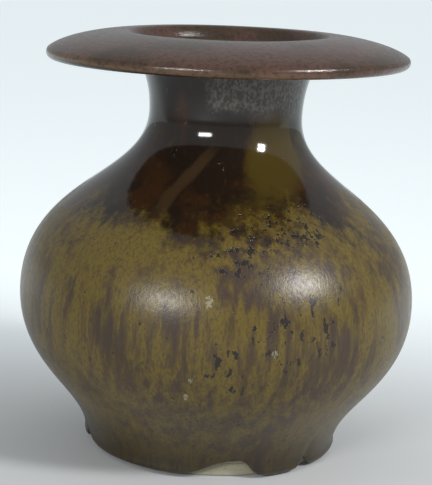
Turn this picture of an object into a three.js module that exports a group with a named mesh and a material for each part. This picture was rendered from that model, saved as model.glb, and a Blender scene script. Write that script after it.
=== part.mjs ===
// A hand-thrown stoneware vase: a globular body with a waisted neck, a wide domed rim luted on top,
// a turned foot ring, and the glaze coats as layers of glass with a rolled, dripping lower edge.
// Millimetres, +Z up, the origin on the ground at the centre of the foot.
import * as THREE from "three";
import { mergeVertices } from "three/addons/utils/BufferGeometryUtils.js";

// Driving dimensions of the outer, glazed surface
const flankRadius = 34.3;
const flankHeight = 3.2;
const bellyRadius = 55;
const bellyHeight = 42.6;
const neckRadius = 21.1;
const neckHeight = 93.6;
const neckTopRadius = 24.4;
const underRimHeight = 107.4;
const rimRadius = 49.5;
const rimEdgeThickness = 3.4;
const crestRadius = 28.2;
const crestRise = 7.2;
const mouthFunnelDepth = 8;

// Walls, coats and seams
const clayWall = 3.4;
const floorThickness = 6;
const coatThickness = 0.9;
const linerThickness = 0.6;
const seam = 0.3;
const footRingRadius = 32.2;
const footRingWidth = 7;
const footRingHeight = 4.4;
const footBevel = 0.8;
const throwingRingDepth = 0.35;
const throwingRingPitch = 5.2;

// The belly coat ends in runs: each one hangs round a bearing, in degrees from +X, counted from above
const bareHeight = 4.6;
const runClearance = 0.8;
const rollThickness = 1.7;
const shoulderLine = 72;
const glazeRuns = [
  { bearing: 236, halfWidth: 35 },
  { bearing: 300, halfWidth: 14 },
  { bearing: 352, halfWidth: 12 },
  { bearing: 38, halfWidth: 22 },
  { bearing: 95, halfWidth: 19 },
  { bearing: 146, halfWidth: 15 },
  { bearing: 184, halfWidth: 9 },
];

const roundSteps = 40;
const flankSteps = 6;
const shoulderSteps = 7;
const neckSteps = 3;

const v2 = (r, z) => new THREE.Vector2(r, z);

// A stretch of a cubic curve, without its last point
function stretch(from, handleA, handleB, to, steps) {
  return new THREE.CubicBezierCurve(from, handleA, handleB, to).getPoints(steps).slice(0, steps);
}

// The glazed outline from the foot to the underside of the rim
function outline() {
  const neckRise = underRimHeight - neckHeight;
  const upperRise = neckHeight - bellyHeight;
  const lowerRise = bellyHeight - flankHeight;
  return [
    ...stretch(
      v2(flankRadius, flankHeight),
      v2(flankRadius + 0.2 * (bellyRadius - flankRadius), flankHeight + 0.33 * lowerRise),
      v2(bellyRadius, bellyHeight - 0.5 * lowerRise),
      v2(bellyRadius, bellyHeight),
      flankSteps,
    ),
    ...stretch(
      v2(bellyRadius, bellyHeight),
      v2(bellyRadius, bellyHeight + 0.585 * upperRise),
      v2(neckRadius, neckHeight - 0.385 * upperRise),
      v2(neckRadius, neckHeight),
      shoulderSteps,
    ),
    ...stretch(
      v2(neckRadius, neckHeight),
      v2(neckRadius, neckHeight + 0.55 * neckRise),
      v2(neckTopRadius - 1.2, underRimHeight - 0.15 * neckRise),
      v2(neckTopRadius, underRimHeight),
      neckSteps,
    ),
    v2(neckTopRadius, underRimHeight),
  ];
}

// The same line moved square to itself, inwards where the distance is positive
function inset(line, distance) {
  return line.map((point, i) => {
    const before = line[Math.max(0, i - 1)];
    const after = line[Math.min(line.length - 1, i + 1)];
    const along = after.clone().sub(before).normalize();
    const depth = typeof distance === "function" ? distance(point, i) : distance;
    return v2(point.x - along.y * depth, point.y + along.x * depth);
  });
}

// The part of a line between two heights, with points exactly on them
function between(line, low, high) {
  const heightAt = (a, b, z) => v2(THREE.MathUtils.mapLinear(z, a.y, b.y, a.x, b.x), z);
  const kept = [];
  line.forEach((point, i) => {
    const last = line[i - 1];
    if (last && last.y < low && point.y > low) kept.push(heightAt(last, point, low));
    if (last && last.y < high && point.y > high) kept.push(heightAt(last, point, high));
    else if (point.y >= low && point.y <= high) kept.push(point);
  });
  return kept;
}

function turned(profile) {
  const shape = new THREE.LatheGeometry(profile, roundSteps);
  shape.rotateX(Math.PI / 2);
  shape.deleteAttribute("normal");
  shape.deleteAttribute("uv");
  return mergeVertices(shape, 1e-4);
}

// A closed section carried round the axis, free to change with the bearing
function carriedRound(sectionAt) {
  const positions = [];
  const faces = [];
  let size = 0;
  for (let turn = 0; turn < roundSteps; turn++) {
    const angle = (turn / roundSteps) * 2 * Math.PI;
    const section = sectionAt(THREE.MathUtils.radToDeg(angle));
    size = section.length;
    for (const p of section) positions.push(p.x * Math.cos(angle), p.x * Math.sin(angle), p.y);
  }
  for (let turn = 0; turn < roundSteps; turn++) {
    const here = turn * size;
    const next = ((turn + 1) % roundSteps) * size;
    for (let i = 0; i < size; i++) {
      const j = (i + 1) % size;
      faces.push(here + i, next + i, next + j, here + i, next + j, here + j);
    }
  }
  const shape = new THREE.BufferGeometry();
  shape.setAttribute("position", new THREE.Float32BufferAttribute(positions, 3));
  shape.setIndex(faces);
  return shape;
}

const skin = outline();
const clayDepth = coatThickness + seam;
const clayLine = inset(skin, clayDepth);
const cavityDepth = clayDepth + clayWall;
const clayTop = underRimHeight - seam;
const floorTop = footRingHeight + floorThickness;
const cavityCorner = floorTop + 9;
const cavityWall = between(inset(skin, cavityDepth), cavityCorner, clayTop);
const footTopLine = footRingHeight + seam;

// The bowl of the floor, from the axis out to the wall
function floorBowl(depth) {
  const wallFoot = between(inset(skin, cavityDepth + depth), cavityCorner, clayTop)[0];
  return stretch(
    v2(0, floorTop + depth),
    v2(0.55 * wallFoot.x, floorTop + depth),
    v2(0.86 * wallFoot.x, floorTop + depth + 0.25 * (cavityCorner - floorTop)),
    wallFoot,
    5,
  );
}

function thrownBody() {
  const outside = between(clayLine, footTopLine, clayTop);
  return turned([
    v2(0, footTopLine),
    ...outside,
    ...[...cavityWall].reverse(),
    ...floorBowl(0).reverse(),
  ]);
}

function footRing() {
  const inner = footRingRadius - footRingWidth;
  return turned([
    v2(inner, footBevel),
    v2(inner + footBevel, 0),
    v2(footRingRadius - footBevel, 0),
    v2(footRingRadius, footBevel),
    v2(footRingRadius - 0.4, footRingHeight),
    v2(inner + 0.6, footRingHeight),
    v2(inner, footBevel),
  ]);
}

// The rim's glazed section, from the neck out under it, round its edge and over into the mouth
const throatRadius = neckTopRadius - cavityDepth;
const edgeRadius = rimEdgeThickness / 2;
const crestHeight = underRimHeight + crestRise + 0.25 * rimEdgeThickness;
function rimSkin() {
  const edgeCentre = v2(rimRadius - edgeRadius, underRimHeight + edgeRadius + 0.3);
  const edge = [-90, -50, -10, 30, 60].map((degrees) => {
    const a = THREE.MathUtils.degToRad(degrees);
    return v2(edgeCentre.x + edgeRadius * Math.cos(a), edgeCentre.y + edgeRadius * Math.sin(a));
  });
  const reach = rimRadius - crestRadius;
  const lip = v2(crestRadius - 1.6, crestHeight - 1.1);
  return [
    v2(neckTopRadius + 1, underRimHeight + seam),
    v2((neckTopRadius + rimRadius) / 2, underRimHeight + seam),
    ...edge,
    ...stretch(
      v2(rimRadius - 0.13 * reach, edgeCentre.y + 0.75 * edgeRadius + 0.7),
      v2(rimRadius - 0.35 * reach, edgeCentre.y + 0.75 * edgeRadius + 0.33 * crestRise),
      v2(crestRadius + 0.3 * reach, crestHeight),
      v2(crestRadius, crestHeight),
      5,
    ),
    v2(crestRadius, crestHeight),
    ...stretch(
      lip,
      v2(crestRadius - 3, crestHeight - 0.45 * mouthFunnelDepth),
      v2(throatRadius + 1, underRimHeight + 0.3 * mouthFunnelDepth),
      v2(throatRadius, underRimHeight + seam),
      4,
    ),
    v2(throatRadius, underRimHeight + seam),
  ];
}

const rimLine = rimSkin();
const rimClayLine = inset(rimLine, clayDepth);
const seatInner = throatRadius + clayDepth;
const seatOuter = neckTopRadius - clayDepth;

function flangeRim() {
  const seat = [v2(seatInner, underRimHeight), v2(seatOuter, underRimHeight), v2(seatOuter, rimClayLine[0].y)];
  return turned([...seat, ...rimClayLine, seat[0]]);
}

function rimGlaze() {
  const inside = inset(rimLine, coatThickness);
  return carriedRound(() => [...rimLine, ...[...inside].reverse()]);
}

function shoulderGlaze() {
  const low = shoulderLine + seam;
  const outer = between(skin, low, underRimHeight);
  const inner = between(inset(skin, coatThickness), low, underRimHeight);
  return carriedRound(() => [...outer, ...[...inner].reverse()]);
}

function liningGlaze() {
  const ripple = (p) => {
    const ring = Math.cos((2 * Math.PI * p.y) / throwingRingPitch);
    return cavityDepth + seam + linerThickness + throwingRingDepth * 0.5 * (1 + ring);
  };
  const top = underRimHeight - seam;
  const against = between(inset(skin, cavityDepth + seam), cavityCorner, top);
  const face = between(inset(skin, ripple), cavityCorner, top);
  return turned([
    ...floorBowl(seam),
    ...against,
    ...face.reverse(),
    ...floorBowl(seam + linerThickness).reverse(),
  ]);
}

// How far a run comes down at a bearing: 1 in the middle of a run and 0 on bare clay
function runAt(bearing) {
  return Math.max(...glazeRuns.map((run) => {
    const away = Math.abs(((bearing - run.bearing + 540) % 360) - 180) / run.halfWidth;
    return Math.exp(-0.7 * away ** 4);
  }));
}

// The radius of a line at a height, held at its ends
function radiusAt(line, z) {
  const above = line.findIndex((p) => p.y > z);
  if (above === 0) return line[0].x;
  if (above < 0) return line[line.length - 1].x;
  const [a, b] = [line[above - 1], line[above]];
  return THREE.MathUtils.mapLinear(z, a.y, b.y, a.x, b.x);
}

// The belly coat, thickened towards its lower edge, where it rolls under and hangs in runs
function bellyGlaze() {
  const back = inset(skin, coatThickness);
  const hemTop = footTopLine + 2 * bareHeight;
  const upperOuter = between(skin, hemTop, shoulderLine);
  const upperInner = between(back, hemTop, shoulderLine);
  const slump = 0.4 * bellyHeight;
  return carriedRound((bearing) => {
    const run = runAt(bearing);
    const edge = THREE.MathUtils.lerp(footTopLine + bareHeight, runClearance, run);
    const roll = rollThickness * (0.25 + 0.75 * run);
    const hem = [0, 0.2, 0.45, 0.72].map((share) => THREE.MathUtils.lerp(edge + 0.6 * roll, hemTop, share));
    const swell = (z) => roll * THREE.MathUtils.clamp(1 - (z - edge) / slump, 0, 1) ** 1.6;
    const outer = [...hem.map((z) => v2(radiusAt(skin, z), z)), ...upperOuter]
      .map((p) => v2(p.x + swell(p.y), p.y));
    const inner = [...hem.map((z) => v2(radiusAt(back, z), z)), ...upperInner];
    const middle = (inner[0].x + outer[0].x) / 2;
    return [v2(middle, edge), v2(outer[0].x - 0.2 * roll, edge + 0.25 * roll), ...outer, ...inner.reverse()];
  });
}

function material(colour, roughness) {
  return new THREE.MeshStandardMaterial({ color: colour, roughness, metalness: 0 });
}

const paleClay = material("#b9b093", 0.9);
const ochreGlaze = material("#6b5a2c", 0.45);
const darkGlaze = material("#2c231b", 0.15);
const brownGlaze = material("#5b4638", 0.3);

const vase = new THREE.Group();
function add(name, geometry, finish) {
  const mesh = new THREE.Mesh(geometry, finish);
  mesh.name = name;
  vase.add(mesh);
}

add("thrown_body", thrownBody(), paleClay);
add("foot_ring", footRing(), paleClay);
add("flange_rim", flangeRim(), paleClay);
add("belly_glaze", bellyGlaze(), ochreGlaze);
add("shoulder_glaze", shoulderGlaze(), darkGlaze);
add("rim_glaze", rimGlaze(), brownGlaze);
add("lining_glaze", liningGlaze(), darkGlaze);

export default vase;
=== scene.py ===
# A thrown stoneware vase: its clay, its glaze coats and a plain pale studio.
# Lengths are in metres and bearings in degrees from +X, unless a name or comment says otherwise.
import math

import bpy
import numpy as np
from mathutils import Matrix, Vector


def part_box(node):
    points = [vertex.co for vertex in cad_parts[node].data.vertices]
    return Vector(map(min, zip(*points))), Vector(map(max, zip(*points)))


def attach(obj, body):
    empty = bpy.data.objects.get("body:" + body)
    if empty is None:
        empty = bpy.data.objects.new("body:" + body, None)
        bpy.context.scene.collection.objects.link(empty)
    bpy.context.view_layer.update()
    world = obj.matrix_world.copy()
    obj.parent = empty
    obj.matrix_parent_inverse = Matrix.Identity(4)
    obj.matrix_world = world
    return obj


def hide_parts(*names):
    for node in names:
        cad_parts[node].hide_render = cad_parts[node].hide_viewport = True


bl_info = {
    "name": "Stoneware Vase",
    "version": (1, 0, 0),
    "blender": (4, 5, 0),
    "location": "View3D > Sidebar > Vase",
    "description": "Builds a glazed stoneware vase with a flanged rim",
    "category": "Add Mesh",
}

MM = 0.001
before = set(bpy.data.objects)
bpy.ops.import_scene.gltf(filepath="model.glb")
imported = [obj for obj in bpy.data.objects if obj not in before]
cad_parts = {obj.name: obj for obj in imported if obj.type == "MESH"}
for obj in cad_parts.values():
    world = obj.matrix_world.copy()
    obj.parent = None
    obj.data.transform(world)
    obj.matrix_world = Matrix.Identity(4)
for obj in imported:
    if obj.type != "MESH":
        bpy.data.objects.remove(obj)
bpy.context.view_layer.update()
FOOT_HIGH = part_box("foot_ring")[1]
BELLY_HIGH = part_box("belly_glaze")[1]
RIM_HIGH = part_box("rim_glaze")[1]

# Shares of a stretch of the outline that its curve's handles reach along it
FLANK_OUT = 0.2
FLANK_UP = 0.33
BELLY_DOWN = 0.5
SHOULDER_UP = 0.585
NECK_DOWN = 0.385
NECK_UP = 0.55
FLARE_DOWN = 0.15
FLARE_IN = 1.2 * MM

# Mesh steps, round the axis and along the stretches of each section
ROUND_STEPS = 288
FLANK_STEPS = 60
SHOULDER_STEPS = 70
FLARE_STEPS = 24
BOWL_STEPS = 16

# Middle and half width of each run of glaze
RUNS = ((232, 40), (301, 14), (340, 22), (38, 22), (95, 19), (146, 15), (184, 9))

# A higher power gives the runs steeper sides
RUN_STEEPNESS = 8

# How the lower edge is rounded and swells, as shares of its roll and of the belly's height
HEM_ROUNDING = 0.85
SLUMP_REACH = 0.4
SLUMP_POWER = 1.6

# The pot leans a little all the way up, and its rim tilts: both are slopes. The tilt sets in at a share
# of the height of the rim's underside, and takes another share to reach its full slope.
LEAN = -0.0086
RIM_TILT = 0.0246
TILT_START = 0.78
TILT_SPAN = 0.21

# The camera, fitted to the photograph: angles in radians, focal length and long side in its pixels
CAMERA_BACK = 0.395
CAMERA_HEIGHT = 0.143
CAMERA_PITCH = 0.2146
CAMERA_ROLL = 0.0587
CAMERA_YAW = -0.0034
FOCAL_PIXELS = 1440.0
LONG_SIDE_PIXELS = 485.0
SENSOR_MM = 36.0

FLOOR_HALF = 6.0
WORLD_COLOUR = (0.93, 0.97, 1.0, 1.0)
WORLD_STRENGTH = 0.46
LAMP_AIM = Vector((0, 0, 60 * MM))


def size_prop(label, text, value):
    return bpy.props.FloatProperty(name=label, description=text, default=value, unit="LENGTH")


def colour_prop(label, text, value):
    return bpy.props.FloatVectorProperty(
        name=label, description=text, default=value, size=3, min=0, max=1, subtype="COLOR")


class VaseForm(bpy.types.PropertyGroup):
    """Sizes of the vase"""

    belly_radius: size_prop("Belly radius", "Widest radius", BELLY_HIGH.x)
    belly_height: size_prop("Belly height", "Height of the widest ring", 42.6 * MM)
    flank_radius: size_prop("Flank radius", "Radius just above the foot", 34.3 * MM)
    flank_height: size_prop("Flank height", "Height where the flank begins", 3.2 * MM)
    neck_radius: size_prop("Neck radius", "Radius of the waist", 21.1 * MM)
    neck_height: size_prop("Neck height", "Height of the waist", 93.6 * MM)
    neck_top_radius: size_prop("Neck top radius", "Radius under the rim", 24.4 * MM)
    rim_radius: size_prop("Rim radius", "Outer radius of the rim", RIM_HIGH.x)
    rim_base: size_prop("Rim base", "Height of the rim's underside", 107.4 * MM)
    rim_edge: size_prop("Rim edge", "Radius that rounds the rim's edge", 1.7 * MM)
    crest_radius: size_prop("Crest radius", "Radius of the rim's crest", 28.2 * MM)
    crest_rise: size_prop("Crest rise", "Height of the crest over the rim's underside", 8.05 * MM)
    throat_inset: size_prop("Throat inset", "How far the rim's glaze reaches in from the neck", 6 * MM)
    wall: size_prop("Wall", "Thickness of the thrown wall", 3.4 * MM)
    floor: size_prop("Floor", "Thickness of the floor", 6 * MM)
    foot_width: size_prop("Foot width", "Width of the foot ring", 7 * MM)
    foot_bevel: size_prop("Foot bevel", "Rounding of the foot ring", 0.8 * MM)
    coat: size_prop("Coat", "Glaze thickness outside", 0.9 * MM)
    lining: size_prop("Lining", "Glaze thickness inside", 0.6 * MM)
    seam: size_prop("Seam", "Gap between clay and glaze", 0.3 * MM)
    ring_depth: size_prop("Throwing ring depth", "Height of the rings inside", 0.4 * MM)
    ring_pitch: size_prop("Throwing ring pitch", "Distance between the rings inside", 5.2 * MM)
    roll: size_prop("Roll", "Extra thickness of the glaze's lower edge", 1.7 * MM)
    bare: size_prop("Bare band", "Bare clay over the foot ring, between the runs", 1.0 * MM)
    clearance: size_prop("Clearance", "Height at which a run of glaze stops", 0.8 * MM)


class VaseColours(bpy.types.PropertyGroup):
    """Colours of the clay and the glazes"""

    ochre: colour_prop("Ochre", "Ochre of the belly", (0.116, 0.080, 0.009))
    umber: colour_prop("Umber", "Brown streaks on the belly", (0.042, 0.024, 0.011))
    plum: colour_prop("Plum", "Purple-brown clouds on the belly", (0.040, 0.023, 0.017))
    # The iron colour is also the painted shade along the glaze's lower edge.
    iron_and_hem_shade: colour_prop("Iron", "Iron spots and the glaze's lower edge", (0.010, 0.007, 0.005))
    # This dark brown is also painted as shade on the rim's underside, by the neck.
    tenmoku_and_under_rim_shade: colour_prop("Dark brown", "Dark glossy shoulder glaze", (0.013, 0.008, 0.005))
    russet: colour_prop("Russet", "Red-brown of the dark glaze where it thins", (0.030, 0.013, 0.005))
    olive: colour_prop("Olive", "Ochre that shows under the dark gloss", (0.052, 0.035, 0.007))
    ash: colour_prop("Ash", "Grey crystals on the neck", (0.120, 0.113, 0.100))
    rim_brown: colour_prop("Rim brown", "Brown of the rim", (0.078, 0.038, 0.026))
    rim_gold: colour_prop("Rim gold", "Gold-brown where the rim's glaze breaks", (0.140, 0.078, 0.038))
    clay: colour_prop("Clay", "Bare fired clay", (0.330, 0.310, 0.220))
    clay_stain: colour_prop("Clay stain", "Clay stained in the firing", (0.340, 0.240, 0.130))
    clay_speck: colour_prop("Clay speck", "Dark specks in the clay", (0.100, 0.070, 0.045))
    paper: colour_prop("Paper", "Floor of the studio", (0.600, 0.615, 0.620))
    # Painted light: an emitted glow on the floor that grows behind the vase.
    painted_floor_glow: colour_prop("Paper glow", "Brightness added behind the vase", (0.500, 0.560, 0.580))


def cubic(start, start_handle, end_handle, end, steps):
    """Points along a curve with two handles, both ends included."""
    t = np.linspace(0, 1, steps + 1)[:, None]
    a, b, c, d = (np.array(point, float) for point in (start, start_handle, end_handle, end))
    return (1 - t) ** 3 * a + 3 * (1 - t) ** 2 * t * b + 3 * (1 - t) * t * t * c + t ** 3 * d


def outline(form):
    """The glazed line from the foot to the rim, as (radius, height)."""
    belly = form.belly_radius
    waist = form.neck_radius
    lower = form.belly_height - form.flank_height
    upper = form.neck_height - form.belly_height
    neck = form.rim_base - form.neck_height
    flank_out = FLANK_OUT * (belly - form.flank_radius)
    flank = cubic(
        (form.flank_radius, form.flank_height),
        (form.flank_radius + flank_out, form.flank_height + FLANK_UP * lower),
        (belly, form.belly_height - BELLY_DOWN * lower),
        (belly, form.belly_height),
        FLANK_STEPS)
    shoulder = cubic(
        (belly, form.belly_height),
        (belly, form.belly_height + SHOULDER_UP * upper),
        (waist, form.neck_height - NECK_DOWN * upper),
        (waist, form.neck_height),
        SHOULDER_STEPS)
    flare = cubic(
        (waist, form.neck_height),
        (waist, form.neck_height + NECK_UP * neck),
        (form.neck_top_radius - FLARE_IN, form.rim_base - FLARE_DOWN * neck),
        (form.neck_top_radius, form.rim_base),
        FLARE_STEPS)
    return np.vstack([flank[:-1], shoulder[:-1], flare])


def inset(line, depth):
    """The line moved square to itself, inwards."""
    along = np.gradient(line, axis=0)
    along /= np.linalg.norm(along, axis=1)[:, None]
    return line + np.stack([-along[:, 1], along[:, 0]], 1) * np.reshape(depth, (-1, 1))


def between(line, low, high):
    """The points of the line that lie between two heights."""
    return line[(line[:, 1] > low) & (line[:, 1] < high)]


def all_turns():
    """The bearing of each section of a mesh, in radians."""
    return np.linspace(0, 2 * math.pi, ROUND_STEPS, endpoint=False)


def ripple(turn, height, seed, most_waves, slant):
    """A smooth, seeded unevenness that closes round the axis."""
    chance = np.random.RandomState(seed)
    total = np.zeros(np.broadcast(turn, height).shape)
    for _ in range(9):
        waves = chance.randint(1, most_waves)
        phase = chance.uniform(0, 2 * math.pi)
        climb = chance.uniform(-slant, slant)
        total += np.sin(waves * turn + climb * height / MM + phase) / waves ** 0.5
    return total / 3


def run_at(bearings):
    """1 in the middle of a run of glaze and 0 between runs."""
    found = np.zeros_like(bearings)
    for middle, half_width in RUNS:
        away = np.abs((bearings - middle + 540) % 360 - 180) / half_width
        found = np.maximum(found, np.exp(-0.7 * away ** RUN_STEEPNESS))
    return found


def lean_and_tilt(points, form):
    """The points of any piece, moved as the pot leans and its rim tilts."""
    share = np.clip((points[:, 2] - TILT_START * form.rim_base) / (TILT_SPAN * form.rim_base), 0, 1)
    share = share * share * (3 - 2 * share)
    moved = points.copy()
    moved[:, 2] += RIM_TILT * points[:, 0] * share
    moved[:, 0] += LEAN * points[:, 2]
    return moved


def same_all_round(section):
    return np.repeat(np.array(section, float)[None], ROUND_STEPS, axis=0)


def ring_mesh(name, sections, form, closed_section=True):
    """A mesh from a section for each bearing. An open section gets a cap at each of its ends."""
    turns, size = sections.shape[:2]
    turn = all_turns()[:, None]
    radius = sections[..., 0]
    height = sections[..., 1]
    points = np.stack([radius * np.cos(turn), radius * np.sin(turn), height], -1).reshape(-1, 3)
    points = lean_and_tilt(points, form)
    faces = []
    last = size if closed_section else size - 1
    for step in range(turns):
        here = step * size
        there = (step + 1) % turns * size
        for i in range(last):
            j = (i + 1) % size
            faces.append((here + i, there + i, there + j, here + j))
    if not closed_section:
        faces.append(tuple(step * size for step in range(turns))[::-1])
        faces.append(tuple(step * size + size - 1 for step in range(turns)))
    mesh = bpy.data.meshes.new(name)
    mesh.from_pydata(points.tolist(), [], faces)
    mesh.shade_smooth()
    mesh.validate()
    piece = bpy.data.objects.new(name, mesh)
    bpy.context.scene.collection.objects.link(piece)
    return piece


def finish_piece(piece, material, slot, *nodes):
    """Glaze a piece, hang it on the root, and hide the nodes it stands for."""
    piece.data.materials.append(material)
    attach(piece, "root")
    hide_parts(*nodes)


def plug(tree, place, value):
    """Link a wire to a socket, or set the socket's own value."""
    if isinstance(value, Wire):
        tree.links.new(value.socket, place)
    else:
        place.default_value = value


def add_node(tree, kind, settings, values):
    """A new node: its settings first, then the values or links of its sockets."""
    made = tree.nodes.new(kind)
    for name, setting in settings.items():
        setattr(made, name, setting)
    for name, value in values.items():
        plug(tree, made.inputs[name], value)
    return made


class Wire:
    """A shader socket that takes part in Python expressions."""

    def __init__(self, tree, socket):
        self.tree = tree
        self.socket = socket

    def math(self, operation, other, clamp=False):
        settings = {"operation": operation, "use_clamp": clamp}
        made = add_node(self.tree, "ShaderNodeMath", settings, {0: self, 1: other})
        return Wire(self.tree, made.outputs[0])

    def __add__(self, other):
        return self.math("ADD", other)

    def __sub__(self, other):
        return self.math("SUBTRACT", other)

    def __rsub__(self, other):
        return (self * -1) + other

    def __mul__(self, other):
        return self.math("MULTIPLY", other)

    __radd__ = __add__
    __rmul__ = __mul__

    def clip(self):
        return self.math("ADD", 0.0, clamp=True)


class Finish:
    """A material being made, with its surface shader and the place of each point."""

    def __init__(self, name):
        self.material = bpy.data.materials.new(name)
        self.material.use_nodes = True
        self.tree = self.material.node_tree
        self.shader = self.tree.nodes["Principled BSDF"]
        self.place = self.node("ShaderNodeTexCoord", {}, {}, "Object")
        parts = add_node(self.tree, "ShaderNodeSeparateXYZ", {}, {0: self.place})
        self.x, self.y, self.z = (Wire(self.tree, output) for output in parts.outputs)

    def node(self, kind, settings, values, output=0):
        made = add_node(self.tree, kind, settings, values)
        return Wire(self.tree, made.outputs[output])

    def noise(self, across, up, detail=4.0, rough=0.55, offset=0.0):
        """Noise with so many cells to the metre, across and up."""
        scale = {0: self.place, 1: (across, across, up)}
        vector = self.node("ShaderNodeVectorMath", {"operation": "MULTIPLY"}, scale)
        if offset:
            shift = {0: vector, 1: (offset, offset, offset)}
            vector = self.node("ShaderNodeVectorMath", {"operation": "ADD"}, shift)
        values = {"Vector": vector, "Scale": 1.0, "Detail": detail, "Roughness": rough}
        return self.node("ShaderNodeTexNoise", {}, values)

    def step(self, value, low, high):
        """A soft step from 0 at the low value to 1 at the high one."""
        settings = {"interpolation_type": "SMOOTHSTEP"}
        return self.node("ShaderNodeMapRange", settings, {0: value, 1: low, 2: high})

    def mix(self, factor, first, second):
        """Two colours, each a wire or three numbers, mixed."""
        first, second = (
            colour if isinstance(colour, Wire) else (*colour, 1.0) for colour in (first, second))
        return self.node("ShaderNodeMix", {"data_type": "RGBA"}, {0: factor, 6: first, 7: second}, 2)

    def near(self, across, up, half_width, half_height):
        """1 at a place on the front, given in millimetres, falling to 0 at its edge."""
        sideways = (self.x - across * MM) * (1 / (half_width * MM))
        upwards = (self.z - up * MM) * (1 / (half_height * MM))
        away = sideways * sideways + upwards * upwards
        front = self.step(self.y * -1.0, 0.0, 8 * MM)
        return (1 - self.step(away, 0.25, 1.0)) * front

    def surface(self, colour, rough, height, strength, distance=0.3 * MM):
        """The material, with its colour, roughness and bump in place."""
        values = {"Height": height, "Strength": strength, "Distance": distance}
        plug(self.tree, self.shader.inputs["Base Color"], colour)
        plug(self.tree, self.shader.inputs["Roughness"], rough)
        plug(self.tree, self.shader.inputs["Normal"], self.node("ShaderNodeBump", {}, values))
        return self.material


def belly_colour(g, colours, grain, hair):
    """Streaked and clouded ochre with painted shade along its lower edge, iron spots and a few chips,
    and those spots.
    """
    streaks = g.noise(150, 34, detail=5, rough=0.62)
    clouds = g.noise(42, 20, rough=0.6, offset=3.1)
    wide = g.noise(26, 12, detail=3, rough=0.5, offset=7.7)
    brown = g.step(streaks * 0.4 + clouds * 0.3 + hair * 0.3, 0.45, 0.58)
    low = 1 - g.step(g.z, 8 * MM, 55 * MM)
    streaked = (brown * 0.70 + low * 0.16 + (hair - 0.5) * 0.9).clip()
    colour = g.mix(streaked, colours.ochre, colours.umber)

    front_left = g.near(-9, 40, 12, 19) + g.near(-30, 48, 12, 15)
    right = g.near(30, 34, 10, 16)
    behind = g.step(g.y, 0.0, 20 * MM)
    gathered = front_left + right + behind * 0.6
    clouded = g.step(wide * 0.3 + hair * 0.6 + clouds * 0.5 + gathered * 0.13, 0.74, 0.88)
    colour = g.mix(clouded * 0.75, colour, colours.plum)

    grained = ((grain - 0.5) * 3.2 + 0.15).clip() * 0.9
    colour = g.mix(grained, colour, colours.umber)
    # Painted shade: the glaze darkens towards its lower edge near the floor, where the belly turns
    # under.
    hem = 1 - g.step(g.z + streaks * (8 * MM), 6 * MM, 22 * MM)
    colour = g.mix(hem * 0.7, colour, colours.iron_and_hem_shade)

    speck = g.noise(460, 240, detail=3, rough=0.7, offset=1.3)
    under_shoulder = g.near(17, 70, 18, 6) + g.near(6, 63, 12, 5)
    mid_belly = g.near(20, 46, 14, 13) * 0.8 + g.near(4, 37, 8, 10) * 0.8
    cluster = under_shoulder + mid_belly + g.step(clouds, 0.58, 0.72) * 0.35
    spots = g.step(speck + cluster.clip() * 0.115, 0.67, 0.69)
    colour = g.mix(spots * 0.95, colour, colours.iron_and_hem_shade)

    upper_chips = g.near(-2.0, 53.5, 1.6, 2.6) + g.near(15.0, 41.0, 1.1, 2.0)
    lower_chips = g.near(-5.5, 33.0, 1.0, 1.4) + g.near(-6.5, 28.0, 0.9, 1.6)
    ragged = g.noise(1500, 900, detail=3, rough=0.7, offset=3.3)
    chips = g.step((upper_chips + lower_chips) * ragged, 0.44, 0.54)
    return g.mix(chips * 0.55, colour, colours.clay), spots


def shoulder_colour(g, colours, hair):
    """Dark brown that thins to red-brown, with an olive patch and a paler slanting streak."""
    pooled = g.noise(70, 36, offset=9.4)
    thin = g.step(pooled + hair * 0.3, 0.60, 0.80)
    colour = g.mix(thin, colours.tenmoku_and_under_rim_shade, colours.russet)

    patch = g.near(13, 85, 10, 14) + g.near(6, 72, 7, 6) * 0.5
    broken = g.step(pooled + hair * 0.3 + patch * 0.12, 0.60, 0.82)
    threads = g.step(hair, 0.55, 0.75) * 0.3
    colour = g.mix((patch * broken + threads).clip(), colour, colours.olive)

    off_line = (g.x + 10.5 * MM) - (g.z - 79 * MM) * 0.85 + (pooled - 0.5) * (4 * MM)
    line = 1 - g.step(off_line * off_line, 0.4 * MM * MM, 5 * MM * MM)
    streak = line * g.near(-10.5, 79, 12, 14)
    return g.mix(streak * 0.8, colour, colours.umber)


def body_finish(colours):
    """Ochre satin glaze that meets a dark gloss one on the shoulder, and grey crystals on the neck."""
    g = Finish("body_glaze")
    grain = g.noise(1500, 700, detail=3, rough=0.6)
    hair = g.noise(420, 50, rough=0.65, offset=8.8)
    belly, spots = belly_colour(g, colours, grain, hair)
    shoulder = shoulder_colour(g, colours, hair)
    lobes = g.noise(62, 40, offset=5.2)
    border = g.z + (lobes - 0.5) * (34 * MM) + (hair - 0.5) * (12 * MM) - g.x * 0.02
    gloss = g.step(border, 66.5 * MM, 74.5 * MM)
    colour = g.mix(gloss, belly, shoulder)

    wander = (g.noise(160, 160, detail=3, rough=0.6, offset=2.2) - 0.5) * (12 * MM)
    above = g.step(g.z + wander, 94.5 * MM, 98.5 * MM)
    beside = g.step(g.x + wander, -7 * MM, -3 * MM)
    patch = above * beside * g.step(g.y * -1.0, 4 * MM, 12 * MM)
    crystals = g.step(g.noise(1300, 800, detail=2, rough=0.6, offset=4.4), 0.40, 0.66)
    colour = g.mix(patch * (crystals * 0.85 + 0.25), colour, colours.ash)

    rough = (1 - gloss) * (grain * 0.20 + 0.24) + gloss * 0.09 + patch * 0.30
    pits = 0.5 + grain * 0.45 * (1 - gloss * 0.85) - spots * 0.35 + patch * crystals * 0.25
    return g.surface(colour, rough, pits, strength=0.45)


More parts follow.
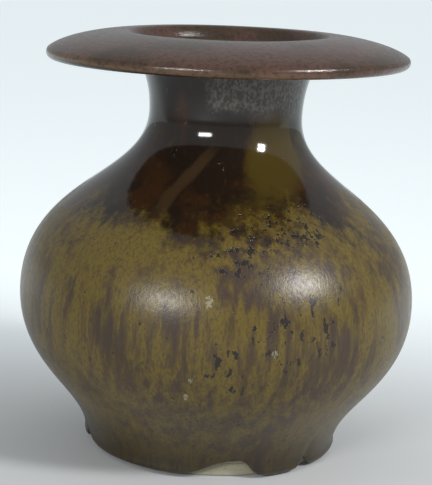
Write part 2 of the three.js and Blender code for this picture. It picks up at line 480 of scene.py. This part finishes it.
def rim_finish(colours):
    """Brown glaze that breaks to gold-brown along the rim's edge, with painted shade on its underside by
    the neck.
    """
    g = Finish("rim_glaze")
    grain = g.noise(900, 900, rough=0.65)
    clouds = g.noise(60, 90, rough=0.6, offset=2.0)
    colour = g.mix(g.step(clouds, 0.42, 0.62), colours.rim_brown, colours.umber)
    edge = 1 - g.step(g.z + (clouds - 0.5) * (3 * MM), 107.8 * MM, 110.2 * MM)
    colour = g.mix(edge * 0.8, colour, colours.rim_gold)
    colour = g.mix(g.step(grain, 0.46, 0.64) * 0.55, colour, colours.iron_and_hem_shade)
    # Painted shade: dark brown on the rim's underside, where it meets the neck.
    under = 1 - g.step(g.z, 107.6 * MM, 108.2 * MM)
    colour = g.mix(under * 0.85, colour, colours.tenmoku_and_under_rim_shade)
    return g.surface(colour, grain * 0.22 + 0.10, grain, strength=0.35)


def lining_finish(colours):
    """Dark gloss glaze of the inside."""
    g = Finish("lining_glaze")
    clouds = g.noise(80, 40, rough=0.6)
    colour = g.mix(clouds, colours.tenmoku_and_under_rim_shade, colours.russet)
    return g.surface(colour, clouds * 0.12 + 0.12, clouds, strength=0.15)


def clay_finish(colours):
    """Bare sandy clay with stains and small dark specks."""
    g = Finish("bare_clay")
    sand = g.noise(1400, 1400, detail=3, rough=0.7)
    stain = g.noise(90, 90, detail=3, rough=0.6, offset=6.0)
    colour = g.mix(g.step(stain, 0.5, 0.75) * 0.5, colours.clay, colours.clay_stain)
    colour = g.mix(g.step(sand, 0.60, 0.70) * 0.6, colour, colours.clay_speck)
    return g.surface(colour, sand * 0.2 + 0.75, sand, strength=0.5)


def paper_with_painted_glow(colours):
    """Pale paper with a painted glow that grows brighter behind the vase."""
    g = Finish("pale_card_painted_glow")
    behind = g.step(g.y, -30 * MM, 200 * MM)
    plug(g.tree, g.shader.inputs["Base Color"], (*colours.paper, 1.0))
    plug(g.tree, g.shader.inputs["Roughness"], 0.8)
    # Painted light: the floor emits a glow that grows behind the vase.
    plug(g.tree, g.shader.inputs["Emission Color"], g.mix(behind, (0.0, 0.0, 0.0), colours.painted_floor_glow))
    plug(g.tree, g.shader.inputs["Emission Strength"], 1.0)
    return g.material


def glaze_edge(form, turn, run):
    """The height of the glaze's lower edge at each bearing."""
    bare_top = FOOT_HIGH.z + form.seam + form.bare
    uneven = 0.5 * MM * ripple(turn, 0, seed=5, most_waves=24, slant=0)
    return bare_top + (form.clearance - bare_top) * run + (1 - run) * uneven


def body_coat_sections(form):
    """The glaze coat's section at each bearing: round the hem, up the outside and down the back."""
    skin = outline(form)
    back = inset(skin, form.coat)
    turn = all_turns()
    wobble = 7 * np.sin(3 * turn + 1.0) + 4 * np.sin(7 * turn)
    run = run_at(np.degrees(turn) + 0.35 * wobble)
    edge = glaze_edge(form, turn, run)[:, None]
    roll = form.roll * (0.25 + 0.75 * run) * (1 + 0.18 * ripple(turn, 0, seed=8, most_waves=12, slant=0))
    roll = roll[:, None]

    hem_depth = HEM_ROUNDING * roll
    start = edge + hem_depth
    top = form.rim_base + 0.2 * MM
    close_steps = np.linspace(0, 0.10, 16)[:-1]
    wide_steps = np.linspace(0.10, 1, 150)
    heights = start + (top - start) * np.concatenate([close_steps, wide_steps])
    slump = np.clip(1 - (heights - edge) / (SLUMP_REACH * form.belly_height), 0, 1) ** SLUMP_POWER
    uneven = 0.22 * MM * ripple(turn[:, None], heights, seed=21, most_waves=9, slant=0.05)
    fade = np.clip((form.rim_base - heights) / (8 * MM), 0, 1)
    outer = np.interp(heights, skin[:, 1], skin[:, 0]) + roll * slump + uneven * fade
    inner = np.interp(heights, back[:, 1], back[:, 0])

    middle = (outer[:, :1] + inner[:, :1]) / 2
    half = (outer[:, :1] - inner[:, :1]) / 2
    hem = np.radians(np.linspace(-160, -12, 9))
    radius = np.hstack([middle + half * np.cos(hem), outer, inner[:, ::-1]])
    height = np.hstack([start + hem_depth * np.sin(hem), heights, heights[:, ::-1]])
    return np.stack([radius, height], -1)


def rim_line(form):
    """The rim's glazed line: from the neck out, round the edge, over the crest and into the mouth."""
    neck = form.neck_top_radius
    base = form.rim_base
    underside = base + form.seam
    edge_centre = np.array([form.rim_radius - form.rim_edge, underside + form.rim_edge])
    arc = np.radians(np.linspace(-90, 62, 26))
    edge = edge_centre + form.rim_edge * np.stack([np.cos(arc), np.sin(arc)], 1)
    edge_top = edge_centre[1] + 0.75 * form.rim_edge
    crest_radius = form.crest_radius
    crest = base + form.crest_rise
    reach = form.rim_radius - crest_radius
    lip = (crest_radius - 3 * MM, crest - 3.4 * MM)
    throat = neck - form.throat_inset
    under = cubic((neck - 0.6 * MM, base), (neck, underside), (neck + 6 * MM, underside), edge[0], 24)
    dome = cubic(
        edge[-1],
        (form.rim_radius - 0.20 * reach, edge_top + 2.6 * MM),
        (crest_radius + 0.38 * reach, crest),
        (crest_radius, crest),
        40)
    inner_crest = cubic(
        (crest_radius, crest),
        (crest_radius - 1.7 * MM, crest),
        (crest_radius - 2.2 * MM, crest - 1.6 * MM),
        lip,
        14)
    funnel = cubic(
        lip,
        (crest_radius - 5 * MM, crest - 5 * MM),
        (throat + 1 * MM, base + 2.4 * MM),
        (throat, base),
        16)
    return np.vstack([under[:-1], edge[:-1], dome[:-1], inner_crest[:-1], funnel])


def floor_bowl(wall_foot, floor):
    """The floor's curve, from by the axis out to the foot of the wall, which it leaves out."""
    radius = wall_foot[0]
    return cubic(
        (0.4 * MM, floor),
        (0.55 * radius, floor),
        (0.86 * radius, floor + 2.2 * MM),
        wall_foot,
        BOWL_STEPS)[:-1]


def clay_body_section(form):
    """The thrown wall and floor: along the bottom, up the outside and down the inside."""
    skin = outline(form)
    bottom = FOOT_HIGH.z + 0.05 * MM
    floor = FOOT_HIGH.z + form.floor
    top = form.rim_base - form.seam
    outside = between(inset(skin, form.coat + form.seam), bottom, top)
    inside = between(inset(skin, form.coat + form.seam + form.wall), floor + 9 * MM, top)
    bowl = floor_bowl(inside[0], floor)
    bottom_line = [(0.4 * MM, bottom), (outside[0][0], bottom)]
    return np.vstack([bottom_line, outside, inside[::-1], bowl[::-1]])


def foot_section(form):
    """The foot ring: its rounded bearing edge, and a slight taper above."""
    outer = FOOT_HIGH.x
    inner = outer - form.foot_width
    height = FOOT_HIGH.z
    bevel = form.foot_bevel
    arc = np.radians(np.linspace(0, 90, 7))
    inner_round = np.stack([inner + bevel - bevel * np.cos(arc), bevel - bevel * np.sin(arc)], 1)
    outer_round = np.stack([outer - bevel + bevel * np.sin(arc), bevel - bevel * np.cos(arc)], 1)
    upper = [(outer - 0.3 * MM, height * 0.6), (outer - 0.4 * MM, height), (inner + 0.6 * MM, height)]
    return np.vstack([inner_round, outer_round, upper])


def lining_section(form):
    """The lining: up against the wall, and down its face over the throwing rings."""
    skin = outline(form)
    floor = FOOT_HIGH.z + form.floor + form.seam
    low = floor + 9 * MM
    top = form.rim_base - 0.2 * MM
    depth = form.coat + form.wall + 2 * form.seam
    rings = form.ring_depth * (1 + np.cos(2 * math.pi * skin[:, 1] / form.ring_pitch))
    back = between(inset(skin, depth), low, top)
    face = between(inset(skin, depth + form.lining + rings), low, top)
    back_bowl = floor_bowl(back[0], floor)
    face_bowl = floor_bowl(face[0], floor + form.lining)
    return np.vstack([back_bowl, back, face[::-1], face_bowl[::-1]])


class VASE_OT_body_glaze(bpy.types.Operator):
    """Glaze coat from the hanging runs up to the rim"""

    bl_idname = "vase.body_glaze"
    bl_label = "Body glaze"

    def execute(self, context):
        form = context.scene.vase_form
        piece = ring_mesh("body_glaze_coat", body_coat_sections(form), form)
        finish = body_finish(context.scene.vase_colours)
        finish_piece(piece, finish, "ochre_glaze", "belly_glaze", "shoulder_glaze")
        return {"FINISHED"}


class VASE_OT_rim(bpy.types.Operator):
    """Glaze of the rim and the clay under it"""

    bl_idname = "vase.rim"
    bl_label = "Rim"

    def execute(self, context):
        form = context.scene.vase_form
        colours = context.scene.vase_colours
        line = rim_line(form)
        uneven = 0.16 * MM * ripple(all_turns()[:, None], line[:, 0], seed=33, most_waves=8, slant=0.05)
        swell = np.clip((line[:, 1] - form.rim_base - 0.8 * MM) / (2 * MM), 0, 1)
        outer = same_all_round(line)
        outer[..., 1] += uneven * swell
        inner = same_all_round(inset(line, 0.7 * form.coat)[::-1])
        coat = ring_mesh("rim_glaze_coat", np.concatenate([outer, inner], axis=1), form)
        finish_piece(coat, rim_finish(colours), "brown_glaze", "rim_glaze")

        clay_line = inset(line, form.coat + form.seam)[4:-4]
        clay = ring_mesh("rim_clay", same_all_round(clay_line), form)
        finish_piece(clay, clay_finish(colours), "stoneware", "flange_rim")
        return {"FINISHED"}


class VASE_OT_clay(bpy.types.Operator):
    """Bare clay of the body and its foot"""

    bl_idname = "vase.clay"
    bl_label = "Clay body and foot"

    def execute(self, context):
        form = context.scene.vase_form
        finish = clay_finish(context.scene.vase_colours)
        body_section = same_all_round(clay_body_section(form))
        body = ring_mesh("clay_body", body_section, form, closed_section=False)
        finish_piece(body, finish, "stoneware", "thrown_body")
        foot = ring_mesh("foot", same_all_round(foot_section(form)), form)
        finish_piece(foot, finish, "stoneware", "foot_ring")
        return {"FINISHED"}


class VASE_OT_lining(bpy.types.Operator):
    """Glaze of the inside, over the throwing rings"""

    bl_idname = "vase.lining"
    bl_label = "Lining glaze"

    def execute(self, context):
        form = context.scene.vase_form
        section = same_all_round(lining_section(form))
        piece = ring_mesh("lining_coat", section, form, closed_section=False)
        finish_piece(piece, lining_finish(context.scene.vase_colours), "lining_glaze", "lining_glaze")
        return {"FINISHED"}


def soft_box(name, direction, distance, size, power):
    """A flat lamp at a distance from the vase, facing it."""
    light = bpy.data.lights.new(name, "AREA")
    light.shape = "RECTANGLE"
    light.size, light.size_y = size
    light.energy = power
    lamp = bpy.data.objects.new(name, light)
    lamp.location = LAMP_AIM + Vector(direction).normalized() * distance
    lamp.rotation_euler = (LAMP_AIM - lamp.location).to_track_quat("-Z", "Y").to_euler()
    bpy.context.scene.collection.objects.link(lamp)


def lay_floor(colours):
    """The wide pale floor, with a painted glow behind the vase."""
    h = FLOOR_HALF
    mesh = bpy.data.meshes.new("floor")
    mesh.from_pydata([(-h, -h, 0), (h, -h, 0), (h, h, 0), (-h, h, 0)], [], [(0, 1, 2, 3)])
    mesh.materials.append(paper_with_painted_glow(colours))
    floor = bpy.data.objects.new("floor", mesh)
    bpy.context.scene.collection.objects.link(floor)


def light_studio(scene):
    """An even pale world, a wide lamp at the left and a square one at the upper right."""
    world = bpy.data.worlds.new("studio")
    scene.world = world
    world.use_nodes = True
    background = world.node_tree.nodes["Background"]
    background.inputs["Color"].default_value = WORLD_COLOUR
    background.inputs["Strength"].default_value = WORLD_STRENGTH
    soft_box("left_window", (-0.44, -0.86, 0.32), distance=0.75, size=(0.26, 0.08), power=2.3)
    soft_box("right_window", (0.84, -0.54, 0.66), distance=0.70, size=(0.13, 0.13), power=3.3)


def set_camera(scene):
    """The camera in front of the vase, looking a little down and rolled as the photograph is."""
    yaw_cos = math.cos(CAMERA_YAW)
    yaw_sin = math.sin(CAMERA_YAW)
    pitch_cos = math.cos(CAMERA_PITCH)
    ahead = Vector((yaw_sin * pitch_cos, yaw_cos * pitch_cos, -math.sin(CAMERA_PITCH)))
    right = Vector((yaw_cos, -yaw_sin, 0))
    up = right.cross(ahead)
    roll_cos = math.cos(CAMERA_ROLL)
    roll_sin = math.sin(CAMERA_ROLL)
    picture_right = roll_cos * right + roll_sin * up
    picture_up = roll_cos * up - roll_sin * right
    turn = Matrix((picture_right, picture_up, -ahead)).transposed()
    lens = bpy.data.cameras.new("camera")
    lens.sensor_width = SENSOR_MM
    lens.lens = FOCAL_PIXELS * SENSOR_MM / LONG_SIDE_PIXELS
    lens.clip_start = 10 * MM
    camera = bpy.data.objects.new("camera", lens)
    camera.matrix_world = Matrix.Translation((0, -CAMERA_BACK, CAMERA_HEIGHT)) @ turn.to_4x4()
    scene.collection.objects.link(camera)
    scene.camera = camera


class VASE_OT_stage(bpy.types.Operator):
    """Pale floor, two lamps and the camera at the photograph's angle"""

    bl_idname = "vase.stage"
    bl_label = "Stage"

    def execute(self, context):
        scene = context.scene
        lay_floor(scene.vase_colours)
        light_studio(scene)
        set_camera(scene)
        scene.view_settings.view_transform = "Standard"
        return {"FINISHED"}


class VASE_PT_panel(bpy.types.Panel):
    """The vase's steps, sizes and colours"""

    bl_label = "Stoneware vase"
    bl_idname = "VASE_PT_panel"
    bl_space_type = "VIEW_3D"
    bl_region_type = "UI"
    bl_category = "Vase"

    def draw(self, context):
        for step in STEPS:
            self.layout.operator(step.bl_idname)
        for group in (context.scene.vase_form, context.scene.vase_colours):
            for name in group.bl_rna.properties.keys():
                if name not in ("rna_type", "name"):
                    self.layout.prop(group, name)


STEPS = (VASE_OT_stage, VASE_OT_body_glaze, VASE_OT_rim, VASE_OT_clay, VASE_OT_lining)
CLASSES = (VaseForm, VaseColours, *STEPS, VASE_PT_panel)


def register():
    for kind in CLASSES:
        bpy.utils.register_class(kind)
    bpy.types.Scene.vase_form = bpy.props.PointerProperty(type=VaseForm)
    bpy.types.Scene.vase_colours = bpy.props.PointerProperty(type=VaseColours)


def unregister():
    del bpy.types.Scene.vase_form
    del bpy.types.Scene.vase_colours
    for kind in reversed(CLASSES):
        bpy.utils.unregister_class(kind)


def main():
    register()
    bpy.ops.vase.stage()
    bpy.ops.vase.body_glaze()
    bpy.ops.vase.rim()
    bpy.ops.vase.clay()
    bpy.ops.vase.lining()


if __name__ == "__main__":
    main()
